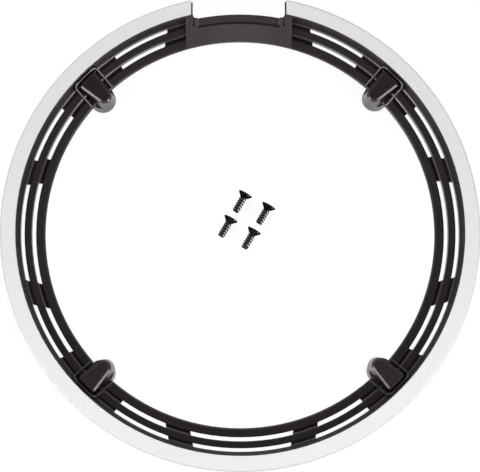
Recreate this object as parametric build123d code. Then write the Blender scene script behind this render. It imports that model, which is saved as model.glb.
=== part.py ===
from build123d import *
import math
import os

# Bicycle chain guard: a dished ring that is screwed to a chainring from behind.
# Millimetres. It stands on the posts of its four bosses on z = 0, face up, with its chain gap at +Y.

# Width of the trim, and of each step inside it
outer_radius = 100.0
trim_width = 6.7
collar_lip = 0.4
collar_lean = 1.1
groove_2_width = 1.4
rib_2_width = 2.9
groove_1_width = 1.6
rib_1_width = 3.8
edge_bevel = 0.5

# How far the ring stands off the chainring, and how far its face rises from step to step
standoff = 6.0
inner_edge_thickness = 1.5
rib_1_rise = 0.8
groove_1_rise = 2.4
rib_2_rise = 0.6
groove_2_rise = 2.1
collar_rise = 5.2
groove_1_depth = 1.1
groove_2_depth = 0.8
groove_floor_width = 0.7
groove_floor_rise = 0.15
land_width = 0.6
land_rise = 0.6

# Back of the carrier: a flat foot, then a cone, then the outside of the collar
foot_width = 4.0
skin_thickness = 1.9
back_cone_inset = 0.1
collar_wall = 1.1
flange_thickness = 1.7
back_bevel = 0.8
root_height = 0.6

# Trim ring: a pressed strip that covers the flange and is turned down over its edge
trim_drop = 1.4
trim_thickness = 0.8
trim_lip_depth = 2.2
trim_edge_round = 1.0
trim_clearance = 0.1

# Chain gap in the flange, and the smooth plate that closes the steps below it
gap_half_width = 19.5
gap_depth = 8.1
gap_corner_round = 1.5
trim_setback = 0.65
plate_margin = 2.95
plate_recess = 1.4
pocket_margin = 2.1
pocket_height = 3.3
pocket_depth = 0.7
pocket_sink = 0.7
slit_width = 0.8
slit_length = 2.6
slit_depth = 1.2

# Webs that bridge the two slot rows: beside each screw boss, and in pairs beside each quarter axis
boss_web_half_angle = 9.9
web_width = 9.45
web_margin = 3.7
web_lean = 11.5

# Screw bosses: a drafted block inside a thin rim that follows the plate's cone, over a round post
boss_count = 4
boss_recess = 1.0
boss_overhang = 1.7
boss_tip_round = 3.1
boss_end_gap = 0.6
boss_top_half_width = 4.6
boss_corner_round = 1.4
boss_draft = 4.0
boss_top_bevel = 0.9
plinth_margin = 1.85
plinth_reach = 0.5
plinth_corner_round = 2.0
rim_width = 0.75
moat_floor_rise = 0.5
shoulder_round = 2.2
post_inset = 0.5
post_foot_radius = 5.5
post_draft = 3.0
pilot_radius = 1.25
pilot_spare_depth = 1.0

# Fixing screws with countersunk heads, lying loose inside the ring in two rows of two
screw_head_radius = 3.1
screw_head_rim = 0.4
screw_length = 9.0
thread_bite = 0.2
screw_tip_radius = 1.0
screw_tip_length = 0.3
screw_heading = 239.2
first_screw_reach = 17.3
first_screw_bearing = 81.7
screw_column_pitch = 11.15
screw_column_bearing = 332.5
screw_row_pitch = 12.3
screw_row_bearing = 239.4

# Radii that follow from the outer one, going inwards
flange_radius = outer_radius - trim_thickness - trim_clearance
trim_inner_radius = outer_radius - trim_width
collar_top_radius = trim_inner_radius - collar_lip
collar_foot_radius = collar_top_radius - collar_lean
rib_2_outer_radius = collar_foot_radius - groove_2_width
rib_2_inner_radius = rib_2_outer_radius - rib_2_width
rib_1_outer_radius = rib_2_inner_radius - groove_1_width
inner_radius = rib_1_outer_radius - rib_1_width
foot_radius = inner_radius + foot_width
back_cone_radius = trim_inner_radius - back_cone_inset
collar_back_radius = trim_inner_radius + collar_wall
gap_floor_radius = outer_radius - gap_depth
pocket_inner_radius = gap_floor_radius - pocket_height
boss_tip_radius = inner_radius - boss_overhang
screw_circle_radius = inner_radius + post_inset
boss_top_radius = collar_foot_radius - boss_end_gap
plinth_outer_radius = collar_foot_radius + plinth_reach

# Heights and half widths that follow
inner_edge_height = standoff + inner_edge_thickness
moat_floor_height = inner_edge_height + moat_floor_rise
rib_1_outer_height = inner_edge_height + rib_1_rise
rib_2_inner_height = rib_1_outer_height + groove_1_rise
rib_2_outer_height = rib_2_inner_height + rib_2_rise
collar_foot_height = rib_2_outer_height + groove_2_rise
collar_top_height = collar_foot_height + collar_rise
back_cone_height = collar_foot_height - skin_thickness
plate_top_height = collar_top_height - plate_recess
boss_height = collar_top_height - boss_recess
pilot_depth = screw_length + pilot_spare_depth
plate_half_width = gap_half_width + plate_margin
pocket_half_width = gap_half_width - pocket_margin
web_offset = plate_half_width + web_margin
plinth_half_width = boss_top_half_width + plinth_margin
screw_shank_radius = pilot_radius + thread_bite
boss_angles = [(turn + 0.5) * 360 / boss_count for turn in range(boss_count)]
past_ring = 2 * outer_radius


def section(points, ease=fillet, eased=()):
    """A closed outline in radius and height, with some of its corners rounded or bevelled."""
    outline = make_face(Polyline(*points, close=True))
    for corner, size in eased:
        nearest = outline.vertices().sort_by_distance(Vector(*corner))[0]
        outline = ease(nearest, size)
    return outline


def turned(outline):
    """The ring that an outline sweeps about the axis."""
    return revolve(Plane.XZ * outline, Axis.Z)


def strip(left, right):
    """A plan strip from the ring's axis out past its +Y side."""
    return Pos((left + right) / 2, past_ring / 2) * Rectangle(right - left, past_ring)


def column(plan):
    """A plan outline carried right through the ring's height."""
    return extrude(plan, past_ring, both=True)


def trim_top(radius):
    """Height of the trim's upper face at a radius."""
    return collar_top_height - trim_drop * (radius - trim_inner_radius) / (outer_radius - trim_inner_radius)


def trim_seat(radius):
    """Height of the flange face that the trim lies on."""
    return trim_top(radius) - trim_thickness


def plate_top(radius):
    """Height of the plate's cone at a radius."""
    rise = (plate_top_height - inner_edge_height) / (gap_floor_radius - inner_radius)
    return inner_edge_height + (radius - inner_radius) * rise


def above_plate(start, depth, sink=0.0):
    """The space over the plate's cone from a start radius out, sunk by a depth and more at the gap."""
    return turned(section([
        (start, plate_top(start) - depth),
        (gap_floor_radius, plate_top(gap_floor_radius) - depth - sink),
        (outer_radius, plate_top(outer_radius) - depth - sink),
        (outer_radius, past_ring),
        (start, past_ring),
    ]))


def under_plate():
    """The space from the ring's back up to the plate's cone, or inside the ring to its edge's height."""
    start = boss_tip_radius - boss_tip_round
    return turned(section([
        (start, inner_edge_height),
        (inner_radius, inner_edge_height),
        (trim_inner_radius, plate_top(trim_inner_radius)),
        (trim_inner_radius, standoff),
        (start, standoff),
    ]))


def back_top(radius):
    """Height of the carrier's back cone at a radius."""
    slope = (back_cone_height - standoff) / (back_cone_radius - foot_radius)
    return standoff + (radius - foot_radius) * slope


def under_roots():
    """The space below the depth to which the plate and the bosses are rooted in the dish."""
    return turned(section([
        (foot_radius, standoff + root_height),
        (past_ring, back_top(past_ring) + root_height),
        (past_ring, -past_ring),
        (foot_radius, -past_ring),
    ]))


def dished_ring():
    """The stepped ring with its grooves, its collar and the flange that carries the trim."""
    floor_1 = rib_1_outer_height - groove_1_depth
    floor_2 = rib_2_outer_height - groove_2_depth
    inner_edge = (inner_radius, inner_edge_height)
    back_corner = (collar_back_radius, trim_seat(collar_back_radius) - flange_thickness)
    return turned(section([
        (inner_radius, standoff),
        inner_edge,
        (rib_1_outer_radius, rib_1_outer_height),
        (rib_1_outer_radius, floor_1),
        (rib_1_outer_radius + groove_floor_width, floor_1 + groove_floor_rise),
        (rib_2_inner_radius - land_width, rib_2_inner_height - land_rise),
        (rib_2_inner_radius, rib_2_inner_height),
        (rib_2_outer_radius, rib_2_outer_height),
        (rib_2_outer_radius, floor_2),
        (rib_2_outer_radius + groove_floor_width, floor_2 + groove_floor_rise),
        (collar_foot_radius - land_width, collar_foot_height - land_rise),
        (collar_foot_radius, collar_foot_height),
        (collar_top_radius, collar_top_height),
        (trim_inner_radius, collar_top_height),
        (trim_inner_radius, trim_seat(trim_inner_radius)),
        (flange_radius, trim_seat(flange_radius)),
        (flange_radius, trim_seat(flange_radius) - flange_thickness),
        back_corner,
        (back_cone_radius, back_cone_height),
        (foot_radius, standoff),
    ], chamfer, [(inner_edge, edge_bevel), (back_corner, back_bevel)]))


def slot_rows():
    """The two rows of slots, cut straight through between the webs."""
    rows = Circle(rib_2_inner_radius) - Circle(rib_1_outer_radius)
    rows += Circle(collar_foot_radius) - Circle(rib_2_outer_radius)
    for angle in boss_angles:
        spread = boss_web_half_angle
        sides = [Vector(past_ring, 0).rotate(Axis.Z, angle + turn) for turn in (-spread, spread)]
        rows -= make_face(Polyline((0, 0), *sides, close=True))
    web_reach = math.sqrt(rib_2_inner_radius ** 2 - web_offset ** 2)
    for quarter in (0, 90, 180, 270):
        for side in (1, -1):
            web = Rot(0, 0, -side * web_lean) * Rectangle(web_reach / 2, web_width)
            rows -= Rot(0, 0, quarter) * Pos(web_reach, side * web_offset) * web
    rows -= strip(-web_offset, web_offset)
    return column(rows)


def gap_plate():
    """The smooth cone below the chain gap, with its bare pocket and the slits beside it."""
    plate_end = (collar_top_radius + trim_inner_radius) / 2
    cone = turned(section([
        (inner_radius, plate_top(inner_radius)),
        (plate_end, plate_top(plate_end)),
        (plate_end, back_top(plate_end) + root_height),
        (foot_radius, standoff + root_height),
        (inner_radius, standoff + root_height),
    ]))
    plate = cone & column(strip(-plate_half_width, plate_half_width))
    pocket = above_plate(pocket_inner_radius, pocket_depth, pocket_sink)
    plate -= pocket & column(strip(-pocket_half_width, pocket_half_width))
    slits = strip(gap_half_width - slit_width, gap_half_width)
    slits += strip(-gap_half_width, slit_width - gap_half_width)
    plate -= above_plate(gap_floor_radius - slit_length, slit_depth) & column(slits)
    return plate


def gap_cut():
    """The opening that lets the chain past the flange."""
    plan = strip(-gap_half_width, gap_half_width) - Circle(gap_floor_radius)
    inner_corners = plan.vertices().sort_by(Axis.Y)[:2]
    return column(fillet(inner_corners, gap_corner_round))


def boss_top():
    """Outline of a boss's flat top along +X: round at its tip, wider and square at the collar."""
    tip_centre = Vector(boss_tip_radius, 0)
    to_corner = Vector(boss_top_radius - boss_tip_radius, boss_top_half_width)
    lean = math.atan2(to_corner.Y, to_corner.X) + math.acos(boss_tip_round / to_corner.length)
    to_touch = Vector(boss_tip_round * math.cos(lean), boss_tip_round * math.sin(lean))
    corners = [tip_centre + Vector(to_corner.X, side * to_corner.Y) for side in (1, -1)]
    touches = [tip_centre + Vector(to_touch.X, side * to_touch.Y) for side in (1, -1)]
    tip = tip_centre - Vector(boss_tip_round, 0)
    top = make_face([
        Line(touches[0], corners[0]),
        Line(corners[0], corners[1]),
        Line(corners[1], touches[1]),
        ThreePointArc(touches[1], tip, touches[0]),
    ])
    outer_corners = top.vertices().sort_by(Axis.X)[-2:]
    return fillet(outer_corners, boss_corner_round)


def plinth_plan(inset):
    """A strip along +X with round outer corners, inset from the plinth's outline."""
    reach = plinth_outer_radius - inset
    plan = Pos(reach / 2, 0) * Rectangle(reach, 2 * (plinth_half_width - inset))
    return fillet(plan.vertices().sort_by(Axis.X)[-2:], plinth_corner_round - inset)


def plinth():
    """The rimmed ramp that ties a boss to the steps, with round shoulders where it leaves the ring."""
    shoulder_radius = inner_radius + edge_bevel / 2
    plan = plinth_plan(0) - Circle(shoulder_radius) + boss_top()
    shoulders = [corner for corner in plan.vertices()
                 if math.isclose(Vector(corner).length, shoulder_radius, abs_tol=0.01)
                 and abs(corner.Y) < plinth_half_width - shoulder_round / 2]
    plan = fillet(shoulders, shoulder_round)
    moat = Pos(0, 0, moat_floor_height) * extrude(plinth_plan(rim_width), past_ring)
    return (column(plan) & under_plate()) - moat


def boss():
    """One screw boss along +X: a drafted block rooted in the steps, and the post that stands behind it."""
    block_height = boss_height - standoff
    foot = offset(boss_top(), block_height * math.tan(math.radians(boss_draft)))
    block = extrude(foot, block_height, taper=boss_draft)
    block = Pos(0, 0, standoff) * chamfer(block.faces().sort_by(Axis.Z)[-1].edges(), boss_top_bevel)
    post = extrude(Circle(post_foot_radius), inner_edge_height, taper=post_draft)
    return block + plinth() - under_roots() + Pos(screw_circle_radius, 0) * post


def carrier_ring():
    """The black moulding: the dished ring with its slots, gap, plate and screw bosses."""
    carrier = dished_ring() + gap_plate() - gap_cut()
    one_boss = boss()
    pilot = Pos(screw_circle_radius, 0) * extrude(Circle(pilot_radius), pilot_depth)
    for angle in boss_angles:
        carrier += Rot(0, 0, angle) * one_boss
        carrier -= Rot(0, 0, angle) * pilot
    return carrier - slot_rows()


def trim_ring():
    """The pressed trim strip, open at the chain gap."""
    inside = trim_inner_radius + trim_clearance
    lip_inside = outer_radius - trim_thickness
    edge = (outer_radius, trim_top(outer_radius))
    lip_end = trim_top(outer_radius) - trim_lip_depth
    ring = turned(section([
        (inside, trim_top(inside)),
        edge,
        (outer_radius, lip_end),
        (lip_inside, lip_end),
        (lip_inside, trim_seat(lip_inside)),
        (inside, trim_seat(inside)),
    ], fillet, [(edge, trim_edge_round)]))
    gap = gap_half_width + trim_setback
    return ring - column(strip(-gap, gap))


def fixing_screws():
    """The four screws, each lying on the rim of its head and the end of its shank."""
    shank_end = screw_length - screw_tip_length
    one_screw = turned(section([
        (0, 0),
        (screw_head_radius, 0),
        (screw_head_radius, -screw_head_rim),
        (screw_shank_radius, -screw_head_rim - screw_head_radius + screw_shank_radius),
        (screw_shank_radius, -shank_end),
        (screw_tip_radius, -screw_length),
        (0, -screw_length),
    ]))
    tilt = math.atan2(screw_head_radius - screw_shank_radius, shank_end - screw_head_rim)
    head_height = screw_head_rim * math.sin(tilt) + screw_head_radius * math.cos(tilt)
    lying = Rot(0, 0, screw_heading) * Rot(0, math.degrees(tilt) - 90, 0) * one_screw
    first_screw = Vector(first_screw_reach, 0).rotate(Axis.Z, first_screw_bearing)
    column_step = Vector(screw_column_pitch, 0).rotate(Axis.Z, screw_column_bearing)
    row_step = Vector(screw_row_pitch, 0).rotate(Axis.Z, screw_row_bearing)
    places = []
    for row in range(2):
        for place in range(2):
            spot = first_screw + row_step * row + column_step * place
            places.append(Pos(spot.X, spot.Y, head_height))
    return Compound([place * lying for place in places])


os.makedirs("parts", exist_ok=True)
export_step(carrier_ring(), "parts/carrier_ring.step")
export_step(trim_ring(), "parts/trim_ring.step")
export_step(fixing_screws(), "parts/fixing_screws.step")
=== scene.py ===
# %% [markdown]
# # A bicycle chain guard, dressed for a product photograph
#
# The guard is a dished black ring with a silver trim, photographed almost straight from above on white.
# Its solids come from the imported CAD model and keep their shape. This lesson gives them their finishes,
# models the four loose screws with their threads, and sets up the studio and the camera.

import math

import bpy
from mathutils import Matrix, Vector


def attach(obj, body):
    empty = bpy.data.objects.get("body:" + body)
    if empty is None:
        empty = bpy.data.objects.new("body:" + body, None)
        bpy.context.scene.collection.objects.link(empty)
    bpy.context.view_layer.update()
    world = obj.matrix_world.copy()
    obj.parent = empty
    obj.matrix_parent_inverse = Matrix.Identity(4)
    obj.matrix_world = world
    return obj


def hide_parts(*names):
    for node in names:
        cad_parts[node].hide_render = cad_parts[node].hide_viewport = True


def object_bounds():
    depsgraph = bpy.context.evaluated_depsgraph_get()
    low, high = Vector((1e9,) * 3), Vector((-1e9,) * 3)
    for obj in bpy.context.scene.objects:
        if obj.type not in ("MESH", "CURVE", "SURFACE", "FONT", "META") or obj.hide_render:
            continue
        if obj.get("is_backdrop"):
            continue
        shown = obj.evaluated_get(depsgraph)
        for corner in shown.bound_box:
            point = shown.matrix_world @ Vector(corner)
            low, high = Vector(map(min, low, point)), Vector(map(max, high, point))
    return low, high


MM = 0.001

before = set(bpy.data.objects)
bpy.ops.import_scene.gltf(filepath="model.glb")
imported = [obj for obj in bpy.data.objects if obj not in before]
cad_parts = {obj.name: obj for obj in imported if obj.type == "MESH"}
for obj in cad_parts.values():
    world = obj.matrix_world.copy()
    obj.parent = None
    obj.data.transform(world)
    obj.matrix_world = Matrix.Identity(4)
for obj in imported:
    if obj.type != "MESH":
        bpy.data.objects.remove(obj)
cad_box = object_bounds()
print("CAD nodes:", sorted(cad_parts))

# %% [markdown]
# ## Small helpers
#
# Paint charts and photo editors give colours as sRGB hex values, while Blender's shaders count light in
# linear values, so one function converts them. A second one adds a shader node, sets its options and
# inputs, and joins its links, so that each material below reads as a short list.


# %% Colour and node helpers
def linear(hex_colour):
    """A linear RGBA colour from an sRGB hex value."""
    channels = [int(hex_colour[place:place + 2], 16) / 255 for place in (1, 3, 5)]
    return (*[c / 12.92 if c <= 0.04045 else ((c + 0.055) / 1.055) ** 2.4 for c in channels], 1)


def add_node(tree, kind, links=None, inputs=None, **options):
    """A shader node with its options and input values set, and with links from other nodes' sockets."""
    made = tree.nodes.new(kind)
    for name, value in options.items():
        setattr(made, name, value)
    for name, value in (inputs or {}).items():
        made.inputs[name].default_value = value
    for name, socket in (links or {}).items():
        tree.links.new(socket, made.inputs[name])
    return made


def new_material(name):
    """An empty node material, with the node tree and the output node to build on."""
    material = bpy.data.materials.new(name)
    material.use_nodes = True
    material.node_tree.nodes.clear()
    output = material.node_tree.nodes.new("ShaderNodeOutputMaterial")
    return material, material.node_tree, output


print("half grey in linear light:", round(linear("#808080")[0], 3))

# %% [markdown]
# ## The black moulding
#
# The ring is injection moulded from black ABS. A spark-eroded mould leaves a fine even grain, which turns
# the shine into a soft satin, and the plastic flows a little unevenly, so the satin varies over a few
# centimetres. The edges of a moulding are never sharp. The Bevel node rounds them in the shading, which gives
# each step and boss the thin light line that the eye expects there.

# %% Moulded ABS
GRAIN = 0.45 * MM       # real grain is near 0.1 mm; drawn coarser, so that it shows in a render
GRAIN_DEPTH = 0.03 * MM
FLOW_MARKS = 14 * MM
MOULDED_EDGE = 0.6 * MM
EDGE_SAMPLES = 6
NOISE_LOW, NOISE_HIGH = 0.3, 0.7        # a noise texture rarely leaves this range

moulded_abs, tree, output = new_material("moulded_black_abs")
place = add_node(tree, "ShaderNodeTexCoord").outputs["Object"]
grain = add_node(tree, "ShaderNodeTexNoise", {"Vector": place},
                 {"Scale": 1 / GRAIN, "Detail": 3.0, "Roughness": 0.6})
flow = add_node(tree, "ShaderNodeTexNoise", {"Vector": place}, {"Scale": 1 / FLOW_MARKS, "Detail": 2.0})
colour = add_node(tree, "ShaderNodeValToRGB", {"Fac": grain.outputs["Fac"]})
colour.color_ramp.elements[0].position = NOISE_LOW
colour.color_ramp.elements[0].color = linear("#141011")
colour.color_ramp.elements[1].position = NOISE_HIGH
colour.color_ramp.elements[1].color = linear("#1d1819")
satin = add_node(tree, "ShaderNodeMapRange", {"Value": flow.outputs["Fac"]},
                 {"From Min": NOISE_LOW, "From Max": NOISE_HIGH, "To Min": 0.28, "To Max": 0.35})
rounded = add_node(tree, "ShaderNodeBevel", inputs={"Radius": MOULDED_EDGE}, samples=EDGE_SAMPLES)
bump = add_node(tree, "ShaderNodeBump",
                {"Height": grain.outputs["Fac"], "Normal": rounded.outputs["Normal"]},
                {"Strength": 0.12, "Distance": GRAIN_DEPTH})
abs_shader = add_node(tree, "ShaderNodeBsdfPrincipled",
                      {"Base Color": colour.outputs["Color"], "Roughness": satin.outputs["Result"],
                       "Normal": bump.outputs["Normal"]},
                      {"IOR": 1.53, "Specular Tint": linear("#fff0f3")})
tree.links.new(abs_shader.outputs["BSDF"], output.inputs["Surface"])
print(moulded_abs.name, "has", len(tree.nodes), "nodes")

# %% [markdown]
# ## The silver trim
#
# The trim strip is pressed from aluminium that was etched and anodised to a matte silver. The etch leaves a
# bright surface with a very fine grit, and it scatters light so widely that no clear reflection is left.
# The metallic value stays low, because the oxide layer itself also scatters light. Where the strip is rolled
# over the edge, its colour is painted darker, a painted shade that holds the rim against the lamps' light and
# draws a thin line round it. The length of the level part of the normal tells how far the strip is turned
# there: it is 0 on a flat top and 1 on a wall.

# %% Matte anodised aluminium
ETCH_GRIT = 0.5 * MM    # drawn coarser than the real etch, so that it shows
ETCH_DEPTH = 0.02 * MM
SHEET_MARKS = 25 * MM
PRESSED_EDGE = 0.25 * MM
# painted shade: the colour is darkened towards the last value where the strip turns over its edge
EDGE_SHADE_START, EDGE_SHADE_END = 0.22, 0.85       # the sloping face of the strip stays below the first value
EDGE_SHADE_GREY = 0.56

anodised, tree, output = new_material("matte_anodised_aluminium")
place = add_node(tree, "ShaderNodeTexCoord").outputs["Object"]
grit = add_node(tree, "ShaderNodeTexNoise", {"Vector": place}, {"Scale": 1 / ETCH_GRIT, "Detail": 2.0})
sheet = add_node(tree, "ShaderNodeTexNoise", {"Vector": place}, {"Scale": 1 / SHEET_MARKS, "Detail": 2.0})
silver = add_node(tree, "ShaderNodeValToRGB", {"Fac": grit.outputs["Fac"]})
silver.color_ramp.elements[0].position = NOISE_LOW
silver.color_ramp.elements[0].color = linear("#e8e6e7")
silver.color_ramp.elements[1].position = NOISE_HIGH
silver.color_ramp.elements[1].color = linear("#f0eeef")
facing = add_node(tree, "ShaderNodeNewGeometry").outputs["Normal"]
level_part = add_node(tree, "ShaderNodeVectorMath", {0: facing}, {1: (1, 1, 0)}, operation="MULTIPLY")
turned = add_node(tree, "ShaderNodeVectorMath", {0: level_part.outputs["Vector"]}, operation="LENGTH")
# painted shade on the rolled edge: the further the normal turns from the top, the darker the silver
painted_edge_shade = add_node(tree, "ShaderNodeMapRange", {"Value": turned.outputs["Value"]},
                  {"From Min": EDGE_SHADE_START, "From Max": EDGE_SHADE_END, "To Min": 1.0, "To Max": EDGE_SHADE_GREY})
colour = add_node(tree, "ShaderNodeHueSaturation",
                  {"Color": silver.outputs["Color"], "Value": painted_edge_shade.outputs["Result"]})
matte = add_node(tree, "ShaderNodeMapRange", {"Value": sheet.outputs["Fac"]},
                 {"From Min": NOISE_LOW, "From Max": NOISE_HIGH, "To Min": 0.50, "To Max": 0.58})
rounded = add_node(tree, "ShaderNodeBevel", inputs={"Radius": PRESSED_EDGE}, samples=EDGE_SAMPLES)
bump = add_node(tree, "ShaderNodeBump",
                {"Height": grit.outputs["Fac"], "Normal": rounded.outputs["Normal"]},
                {"Strength": 0.08, "Distance": ETCH_DEPTH})
trim_shader = add_node(tree, "ShaderNodeBsdfPrincipled",
                       {"Base Color": colour.outputs["Color"], "Roughness": matte.outputs["Result"],
                        "Normal": bump.outputs["Normal"]},
                       {"Metallic": 0.2})
tree.links.new(trim_shader.outputs["BSDF"], output.inputs["Surface"])
print(anodised.name, "has", len(tree.nodes), "nodes")

# %% [markdown]
# ## The screws' finish
#
# The screws are steel with a black zinc coat. The coat is a dark metal layer that swallows most of the light,
# also at a low angle, so it counts as a metal with a nearly black colour and a dark edge tint. It is thinner
# in some spots, which shows as a slight change of shine. On the crests of the thread it is rubbed thin, and
# the steel shines through as small light dashes. The mesh of the screw carries that wear as an attribute,
# which is filled in further below.

# %% Black zinc on steel
COAT_SPOTS = 0.8 * MM
SPOT_LOW, SPOT_HIGH = 0.35, 0.75
CREST_WEAR = "crest_wear"
WEAR_LOW, WEAR_HIGH = 0.55, 0.95

black_zinc, tree, output = new_material("black_zinc_steel")
place = add_node(tree, "ShaderNodeTexCoord").outputs["Object"]
spots = add_node(tree, "ShaderNodeTexNoise", {"Vector": place}, {"Scale": 1 / COAT_SPOTS, "Detail": 3.0})
coat = add_node(tree, "ShaderNodeValToRGB", {"Fac": spots.outputs["Fac"]})
coat.color_ramp.elements[0].position = SPOT_LOW
coat.color_ramp.elements[0].color = linear("#252222")
coat.color_ramp.elements[1].position = SPOT_HIGH
coat.color_ramp.elements[1].color = linear("#312d2d")
wear = add_node(tree, "ShaderNodeAttribute", attribute_name=CREST_WEAR)
bare = add_node(tree, "ShaderNodeMapRange", {"Value": wear.outputs["Fac"]},
                {"From Min": WEAR_LOW, "From Max": WEAR_HIGH})
colour = add_node(tree, "ShaderNodeMixRGB",
                  {"Fac": bare.outputs["Result"], "Color1": coat.outputs["Color"]},
                  {"Color2": linear("#66635f")})
shine = add_node(tree, "ShaderNodeMapRange", {"Value": spots.outputs["Fac"]},
                 {"From Min": NOISE_LOW, "From Max": NOISE_HIGH, "To Min": 0.15, "To Max": 0.22})
screw_shader = add_node(tree, "ShaderNodeBsdfPrincipled",
                        {"Base Color": colour.outputs["Color"], "Roughness": shine.outputs["Result"]},
                        {"Metallic": 1.0, "Specular Tint": linear("#404040")})
tree.links.new(screw_shader.outputs["BSDF"], output.inputs["Surface"])
print(black_zinc.name, "has", len(tree.nodes), "nodes")

# %% [markdown]
# ## Dress the solids
#
# The ring and its trim already have the right shape, so they keep their solids and only get their finishes.

# %% Finishes on the CAD nodes
for node_name, material in (("carrier_ring", moulded_abs), ("trim_ring", anodised)):
    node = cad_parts[node_name]
    node.data.materials.clear()
    node.data.materials.append(material)
    print(node_name, "wears", material.name)

# %% [markdown]
# ## One fixing screw
#
# A thread-forming screw for plastic has a thin core, a coarse thread with a narrow flat crest, and a raised
# countersunk head with a cross recess. It could be turned from one outline, but a thread winds, so core and
# thread are made apart: the core is a cylinder that is pulled out into the head and the tip, and the thread
# is a small trapezium that the Screw modifier winds round it. A boolean joins them into one skin. The screw
# stands upright while it is modelled, with the upper edge of its head's rim at height zero.

# %% Screw sizes
HEAD_RADIUS = 3.1 * MM
HEAD_RIM = 0.4 * MM
HEAD_RAISE = 0.4 * MM
SCREW_LENGTH = 9.0 * MM
THREAD_RADIUS = 1.6 * MM
CORE_RADIUS = 1.25 * MM
THREAD_PITCH = 1.2 * MM
TIP_RADIUS = 1.1 * MM
TIP_LENGTH = 0.3 * MM

cone_depth = HEAD_RADIUS - THREAD_RADIUS
head_foot = -HEAD_RIM - cone_depth
shank_end = -SCREW_LENGTH + TIP_LENGTH
print("shank from", round(head_foot / MM, 2), "to", round(shank_end / MM, 2), "mm")

# %% Modelling helpers
NEARLY_LEVEL = 0.9      # a face looks up or down when the Z of its normal is past this


def new_piece(name):
    """The primitive that was just added, with its place and size in its mesh and nothing selected."""
    bpy.ops.object.transform_apply(location=True, rotation=True, scale=True)
    piece = bpy.context.object
    piece.name = name
    bpy.ops.object.mode_set(mode="EDIT")
    bpy.ops.mesh.select_mode(type="FACE")
    bpy.ops.mesh.select_all(action="DESELECT")
    bpy.ops.object.mode_set(mode="OBJECT")
    return piece


def select_faces(piece, wanted):
    """Select the faces that a test on their middle and normal picks, and stay in edit mode.

    Edges and corners that an earlier step left selected stay selected.
    """
    bpy.ops.object.mode_set(mode="OBJECT")
    for face in piece.data.polygons:
        face.select = wanted(face.center, face.normal)
    bpy.ops.object.mode_set(mode="EDIT")


def pull(height, widen):
    """Extrude the selected face along Z and scale its new rim."""
    bpy.ops.mesh.extrude_region_move(TRANSFORM_OT_translate={"value": (0, 0, height)})
    bpy.ops.transform.resize(value=(widen, widen, 1))


def apply_modifier(piece, kind, **settings):
    """Add a modifier with its settings and apply it."""
    bpy.ops.object.select_all(action="DESELECT")
    bpy.context.view_layer.objects.active = piece
    piece.select_set(True)
    modifier = piece.modifiers.new(kind.title(), kind)
    for name, value in settings.items():
        setattr(modifier, name, value)
    bpy.ops.object.modifier_apply(modifier=modifier.name)


# %% [markdown]
# The head grows out of the top face: first level out to the thread's radius, then up the cone and the rim,
# and last in a few rings that follow a quarter of an ellipse to a small flat top. The edge of that top is
# still selected when the tip is pulled, so a short skirt of faces is drawn from it as well. The skirt hangs
# inside the head, where it doesn't show. Deselecting everything in edit mode before the tip is selected would
# leave it out.

# %% Core, head and tip
SIDES = 40
DOME_STEPS = 4
DOME_FLAT = 0.6         # the flat top, as a share of one step

bpy.ops.object.select_all(action="DESELECT")
bpy.ops.mesh.primitive_cylinder_add(vertices=SIDES, radius=CORE_RADIUS, depth=head_foot - shank_end,
                                    location=(0, 0, (head_foot + shank_end) / 2))
screw = new_piece("loose_screws")
select_faces(screw, lambda middle, normal: normal.z > NEARLY_LEVEL)
pull(0, THREAD_RADIUS / CORE_RADIUS)
pull(cone_depth, HEAD_RADIUS / THREAD_RADIUS)
pull(HEAD_RIM, 1)
dome_radius, dome_height = HEAD_RADIUS, 0
for step in range(1, DOME_STEPS + 1):
    swing = math.radians(90 * step / (DOME_STEPS + DOME_FLAT))
    ring_radius, ring_height = HEAD_RADIUS * math.cos(swing), HEAD_RAISE * math.sin(swing)
    pull(ring_height - dome_height, ring_radius / dome_radius)
    dome_radius, dome_height = ring_radius, ring_height
select_faces(screw, lambda middle, normal: normal.z < -NEARLY_LEVEL and middle.z < shank_end + TIP_LENGTH / 2)
pull(-TIP_LENGTH, TIP_RADIUS / CORE_RADIUS)
bpy.ops.object.mode_set(mode="OBJECT")
print("core:", len(screw.data.polygons), "faces")

# %% [markdown]
# The thread's trapezium stands on the core with its foot sunk a little below the surface, so that the boolean
# has something to join. It starts beside the tip and ends inside the head's cone.

# %% Wind the thread
THREAD_SINK = 0.15 * MM
THREAD_FOOT = 0.42 * MM
THREAD_CREST = 0.2 * MM
THREAD_INTO_HEAD = 0.4 * MM
THREAD_ON_TIP = 0.3     # the share of the tip that the thread reaches down along
TURN_STEPS = 28

thread_root = CORE_RADIUS - THREAD_SINK
thread_bottom = shank_end - TIP_LENGTH * THREAD_ON_TIP
thread_turns = int((head_foot + THREAD_INTO_HEAD - thread_bottom) / THREAD_PITCH)
corners = [(THREAD_RADIUS, -THREAD_CREST), (THREAD_RADIUS, THREAD_CREST),
           (thread_root, THREAD_FOOT), (thread_root, -THREAD_FOOT)]
bpy.ops.object.select_all(action="DESELECT")
bpy.ops.mesh.primitive_circle_add(vertices=len(corners), radius=1, fill_type="NOTHING")
thread = bpy.context.object
for vertex, (reach, height) in zip(thread.data.vertices, corners):
    vertex.co = (reach, 0, thread_bottom + height)
apply_modifier(thread, "SCREW", axis="Z", steps=TURN_STEPS, render_steps=TURN_STEPS,
               screw_offset=THREAD_PITCH, iterations=thread_turns, use_merge_vertices=True)
bpy.ops.object.mode_set(mode="EDIT")
bpy.ops.mesh.select_all(action="SELECT")
bpy.ops.mesh.fill_holes(sides=0)
bpy.ops.mesh.select_all(action="SELECT")
bpy.ops.mesh.normals_make_consistent(inside=False)
bpy.ops.object.mode_set(mode="OBJECT")
print("thread:", len(thread.data.polygons), "faces,", thread_turns, "turns")

# %% [markdown]
# A rolled thread runs out at both ends, so the first and last half turn are pulled in towards the core.

# %% Run the thread out
RUN_OUT = THREAD_PITCH / 2

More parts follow.
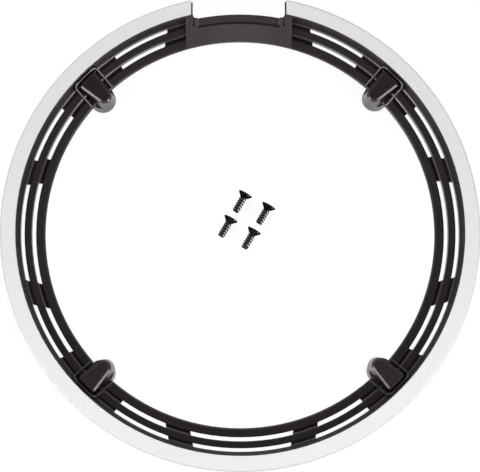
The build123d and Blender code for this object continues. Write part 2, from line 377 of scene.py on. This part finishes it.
thread_top = thread_bottom + thread_turns * THREAD_PITCH
for vertex in thread.data.vertices:
    reach = math.hypot(vertex.co.x, vertex.co.y)
    end_gap = min(vertex.co.z - thread_bottom, thread_top - vertex.co.z)
    if reach > CORE_RADIUS and end_gap < RUN_OUT:
        fade = max(end_gap, 0) / RUN_OUT
        shrink = (CORE_RADIUS + (reach - CORE_RADIUS) * fade) / reach
        vertex.co.x *= shrink
        vertex.co.y *= shrink
print("thread runs from", round(thread_bottom / MM, 2), "to", round(thread_top / MM, 2), "mm")

# %% [markdown]
# The cross recess is cut by two crossed bars that narrow towards their lower end, like the driver that fits
# it. The lower ends of both bars lie in one plane, which a boolean doesn't always cut the same way, so a few
# faces in the recess can differ between runs. A cross-shaped block in one piece would be the surer cutter.

# %% Recess bars
RECESS_SPAN = 3.2 * MM
RECESS_WIDTH = 0.75 * MM
RECESS_DEPTH = 1.5 * MM
RECESS_TAPER = 0.45
BAR_SPARE = 0.3 * MM

bar_top = HEAD_RAISE + BAR_SPARE
bar_height = RECESS_DEPTH + bar_top


def cross_bar(span, width):
    """One bar of the recess cutter, narrower at its lower end."""
    bpy.ops.object.select_all(action="DESELECT")
    bpy.ops.mesh.primitive_cube_add(size=1, location=(0, 0, bar_top - bar_height / 2),
                                    scale=(span, width, bar_height))
    bar = new_piece("recess_bar")
    select_faces(bar, lambda middle, normal: normal.z < -NEARLY_LEVEL)
    bpy.ops.transform.resize(value=(RECESS_TAPER, RECESS_TAPER, 1))
    bpy.ops.object.mode_set(mode="OBJECT")
    return bar


bars = [cross_bar(RECESS_SPAN, RECESS_WIDTH), cross_bar(RECESS_WIDTH, RECESS_SPAN)]
print("recess bars:", len(bars), "with", len(bars[0].data.polygons), "faces each")

# %% [markdown]
# Booleans put the screw together: the thread is joined to the core, and each bar is cut out of the head. The
# shading stays sharp at the edges of the recess, the rim and the thread.

# %% Join thread and recess
SHARP_EDGE = math.radians(32)

apply_modifier(screw, "BOOLEAN", operation="UNION", object=thread, solver="EXACT")
for bar in bars:
    apply_modifier(screw, "BOOLEAN", operation="DIFFERENCE", object=bar, solver="EXACT")
for tool in (thread, *bars):
    bpy.data.objects.remove(tool)
screw.data.materials.clear()
screw.data.materials.append(black_zinc)
bpy.ops.object.shade_smooth_by_angle(angle=SHARP_EDGE)
print("one screw:", len(screw.data.polygons), "faces")

# %% [markdown]
# The wear grows from the core out to the crest. It is one number for each vertex, which the copies below
# carry along and the finish reads. The head gets none, because its cone is as wide as a crest.

# %% Wear on the crests
WEAR_STOP = 0.1 * MM

thread_depth = THREAD_RADIUS - CORE_RADIUS
crest_wear = screw.data.attributes.new(CREST_WEAR, "FLOAT", "POINT")
for vertex, mark in zip(screw.data.vertices, crest_wear.data):
    if vertex.co.z < head_foot - WEAR_STOP:
        reach = math.hypot(vertex.co.x, vertex.co.y)
        mark.value = min(max((reach - CORE_RADIUS) / thread_depth, 0), 1)
print("worn vertices:", sum(mark.value > WEAR_LOW for mark in crest_wear.data))

# %% [markdown]
# ## Four screws on the table
#
# A screw with a countersunk head lies on the rim of its head and on the end of its shank, so it leans a
# little. The four lie side by side in two rows, all pointing the same way. Each one is a copy with its own
# mesh. It is turned about its own axis by a different amount, because screws never roll to rest alike.

# %% Lay out the screws
SCREW_HEADING = math.radians(239.2)
FIRST_REACH, FIRST_BEARING = 17.3 * MM, math.radians(81.7)
COLUMN_PITCH, COLUMN_BEARING = 11.15 * MM, math.radians(332.5)
ROW_PITCH, ROW_BEARING = 12.3 * MM, math.radians(239.4)
COLUMNS = 2
SCREW_ROLLS = [math.radians(roll) for roll in (20, 75, 140, 200)]

lean = math.atan2(HEAD_RADIUS - THREAD_RADIUS, SCREW_LENGTH - TIP_LENGTH - HEAD_RIM)
head_height = HEAD_RIM * math.sin(lean) + HEAD_RADIUS * math.cos(lean)


def polar(reach, bearing):
    """A step along the table, from its length and its direction."""
    return Vector((reach * math.cos(bearing), reach * math.sin(bearing), 0))


lying = Matrix.Rotation(SCREW_HEADING, 4, "Z") @ Matrix.Rotation(lean - math.pi / 2, 4, "Y")
copies = []
for number, roll in enumerate(SCREW_ROLLS):
    row, column = divmod(number, COLUMNS)
    spot = polar(FIRST_REACH, FIRST_BEARING) + row * polar(ROW_PITCH, ROW_BEARING)
    spot += column * polar(COLUMN_PITCH, COLUMN_BEARING) + Vector((0, 0, head_height))
    copy = screw.copy()
    copy.data = screw.data.copy()
    bpy.context.collection.objects.link(copy)
    copy.data.transform(Matrix.Translation(spot) @ lying @ Matrix.Rotation(roll, 4, "Z"))
    copies.append(copy)
bpy.data.objects.remove(screw)
print("screws lean by", round(math.degrees(lean), 1), "degrees")

# %% [markdown]
# The four copies are joined to one piece, which takes the place of the plain screws of the CAD model.

# %% Join the screws
bpy.ops.object.select_all(action="DESELECT")
for copy in copies:
    copy.select_set(True)
bpy.context.view_layer.objects.active = copies[0]
bpy.ops.object.join()
loose_screws = bpy.context.object
loose_screws.name = "loose_screws"
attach(loose_screws, "root")
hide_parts("fixing_screws")
print("four screws:", len(loose_screws.data.polygons), "faces")

# %% [markdown]
# ## Table and backdrop
#
# The guard lies on a wide white table with a white wall round it, far away. The camera and mirror-like
# surfaces see both as pure white, with a part of it left to the lamps, so that a soft shadow stays where the
# bosses touch the table. All other light meets a plain pale paper.

# %% White paper
PAPER_WHITE = 1.08
SHADOW_SHARE = 0.22

white_paper, tree, output = new_material("white_paper")
path = add_node(tree, "ShaderNodeLightPath")
seen = add_node(tree, "ShaderNodeMath",
                {0: path.outputs["Is Camera Ray"], 1: path.outputs["Is Glossy Ray"]}, operation="MAXIMUM")
seen_through = add_node(tree, "ShaderNodeMath",
                        {0: seen.outputs["Value"], 1: path.outputs["Is Transmission Ray"]},
                        operation="MAXIMUM")
lit = add_node(tree, "ShaderNodeBsdfDiffuse", inputs={"Color": linear("#e8e8e8")})
shaded = add_node(tree, "ShaderNodeBsdfDiffuse",
                  inputs={"Color": (SHADOW_SHARE, SHADOW_SHARE, SHADOW_SHARE, 1)})
glow = add_node(tree, "ShaderNodeEmission",
                inputs={"Color": linear("#ffffff"), "Strength": PAPER_WHITE - SHADOW_SHARE})
bright = add_node(tree, "ShaderNodeAddShader", {0: shaded.outputs["BSDF"], 1: glow.outputs["Emission"]})
choice = add_node(tree, "ShaderNodeMixShader",
                  {0: seen_through.outputs["Value"], 1: lit.outputs["BSDF"], 2: bright.outputs["Shader"]})
tree.links.new(choice.outputs["Shader"], output.inputs["Surface"])
print(white_paper.name, "has", len(tree.nodes), "nodes")

# %% White table
TABLE_REACH = 3.0
TABLE_SIDES = 96
WALL_HEIGHT = 1.4
TABLE_DROP = 0.2 * MM   # keeps the table just clear of the feet

bpy.ops.object.select_all(action="DESELECT")
bpy.ops.mesh.primitive_cylinder_add(vertices=TABLE_SIDES, radius=TABLE_REACH, depth=WALL_HEIGHT,
                                    location=(0, 0, WALL_HEIGHT / 2 - TABLE_DROP))
table = new_piece("white_table")
select_faces(table, lambda middle, normal: normal.z > NEARLY_LEVEL)
bpy.ops.mesh.delete(type="ONLY_FACE")
bpy.ops.mesh.select_all(action="SELECT")
bpy.ops.mesh.flip_normals()
bpy.ops.object.mode_set(mode="OBJECT")
table.data.materials.append(white_paper)
table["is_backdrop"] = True
print("table:", len(table.data.polygons), "faces")

# %% [markdown]
# ## Light
#
# Black plastic shows mostly what it mirrors. The flat tops are dark in the picture, so the room overhead is
# dim, and the dark part leans a little away from the camera. The lamps of the next step would leave the far
# side of the silver trim too dark, so the room is brighter on that side.

# %% Room light
ROOM_LIGHT = 0.92
CEILING_LIGHT = 0.14
CEILING_LEAN = math.radians(14)
CEILING_EDGE, CEILING_MIDDLE = 0.70, 0.95       # cosines of the angle from the middle of the dark part
ROOM_SLOPE = 0.5

world = bpy.data.worlds.new("dim_room")
bpy.context.scene.world = world
world.use_nodes = True
tree = world.node_tree
direction = add_node(tree, "ShaderNodeTexCoord").outputs["Generated"]
nearness = add_node(tree, "ShaderNodeVectorMath", {0: direction},
                    {1: (0, math.sin(CEILING_LEAN), math.cos(CEILING_LEAN))}, operation="DOT_PRODUCT")
ceiling = add_node(tree, "ShaderNodeMapRange", {"Value": nearness.outputs["Value"]},
                   {"From Min": CEILING_EDGE, "From Max": CEILING_MIDDLE,
                    "To Min": ROOM_LIGHT, "To Max": CEILING_LIGHT})
side = add_node(tree, "ShaderNodeVectorMath", {0: direction}, {1: (0, ROOM_SLOPE, 0)},
                operation="DOT_PRODUCT")
slope = add_node(tree, "ShaderNodeMath", {0: side.outputs["Value"]}, {1: 1.0}, operation="ADD")
room = add_node(tree, "ShaderNodeMath", {0: ceiling.outputs["Result"], 1: slope.outputs["Value"]},
                operation="MULTIPLY")
background = tree.nodes["Background"]
background.inputs["Color"].default_value = linear("#ffffff")
tree.links.new(room.outputs["Value"], background.inputs["Strength"])
print(world.name, "has", len(tree.nodes), "nodes")

# %% [markdown]
# A bevel of 45 degrees mirrors the horizon. The bevels that face the lower corners of the picture carry light
# lines, so two softboxes stand low in those corners, and a soft fill lamp behind helps the far side of the
# trim. Three weak lamps only serve as things to mirror: one in front for the plate under the gap, and two
# overhead for the ribs on either side of it.

# %% Softboxes
SOFTBOX_DISTANCE = 1.25


def aim(azimuth, elevation):
    """A direction of length one, from its angles."""
    return Vector((math.cos(elevation) * math.cos(azimuth), math.cos(elevation) * math.sin(azimuth),
                   math.sin(elevation)))


def softbox(name, azimuth, elevation, width, height, watts):
    """A rectangular area lamp that faces the ring's centre, with angles in degrees and sizes in metres."""
    towards = aim(math.radians(azimuth), math.radians(elevation))
    bpy.ops.object.light_add(type="AREA", location=towards * SOFTBOX_DISTANCE)
    lamp = bpy.context.object
    lamp.name = name
    lamp.rotation_euler = towards.to_track_quat("Z", "Y").to_euler()
    lamp.data.shape = "RECTANGLE"
    lamp.data.size = width
    lamp.data.size_y = height
    lamp.data.energy = watts
    print(name, "gives", watts, "W")


softbox("softbox_left", -146, 12, 0.50, 0.40, 8.4)
softbox("softbox_right", -39, 17, 0.35, 0.50, 8.0)
softbox("card_in_front", -90, 7, 0.30, 0.30, 0.7)
softbox("overhead_left", -148, 71, 0.45, 0.45, 0.3)
softbox("overhead_right", -32, 71, 0.45, 0.45, 0.3)
softbox("fill_behind", 90, 35, 1.20, 0.60, 2.8)

# %% [markdown]
# ## Camera
#
# The ellipses of the ring's edges in the picture give the tilt, about seven degrees from straight down. They
# do not give the distance: fits from half a metre to two metres are about equally good, so 0.7 m was chosen
# as a usual distance for a picture on a table. A small roll and shift put the ring's centre where the picture
# has it.

# %% Camera
CAMERA_TILT = math.radians(7.11)
CAMERA_AZIMUTH = math.radians(-95.6)
CAMERA_ROLL = math.radians(0.45)
CAMERA_DISTANCE = 0.7
RING_BACK = Vector((0, 0, 6.0 * MM))
PICTURE_WIDTH, PICTURE_HEIGHT = 480, 472
PIXELS_PER_MM = 2.3661  # at the ring's back
CENTRE_ACROSS, CENTRE_DOWN = 240.23, 232.62
SENSOR_WIDTH = 36.0

away = aim(CAMERA_AZIMUTH, math.pi / 2 - CAMERA_TILT)
level = Vector((0, 1, 0)).cross(away).normalized()
upright = away.cross(level)
right = level * math.cos(CAMERA_ROLL) - upright * math.sin(CAMERA_ROLL)
up = upright * math.cos(CAMERA_ROLL) + level * math.sin(CAMERA_ROLL)
focal_pixels = PIXELS_PER_MM * CAMERA_DISTANCE / MM
bpy.ops.object.camera_add(location=RING_BACK + away * CAMERA_DISTANCE)
camera = bpy.context.object
camera.rotation_euler = Matrix((right, up, away)).transposed().to_euler()
camera.data.sensor_fit = "HORIZONTAL"
camera.data.sensor_width = SENSOR_WIDTH
camera.data.lens = SENSOR_WIDTH * focal_pixels / PICTURE_WIDTH
camera.data.shift_x = (PICTURE_WIDTH / 2 - CENTRE_ACROSS) / PICTURE_WIDTH
camera.data.shift_y = (CENTRE_DOWN - PICTURE_HEIGHT / 2) / PICTURE_WIDTH
bpy.context.scene.camera = camera
bpy.context.scene.view_settings.view_transform = "Standard"
print("lens of", round(camera.data.lens, 1), "mm")

# %% [markdown]
# ## Size of the model
#
# The finished model must stay as large as the CAD model, so both boxes are printed.

# %% Sizes
visual_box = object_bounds()
boxes = {"cad": [list(corner) for corner in cad_box], "visual": [list(corner) for corner in visual_box]}
for name, box in boxes.items():
    print(name, "box", [tuple(round(v, 4) for v in corner) for corner in box])
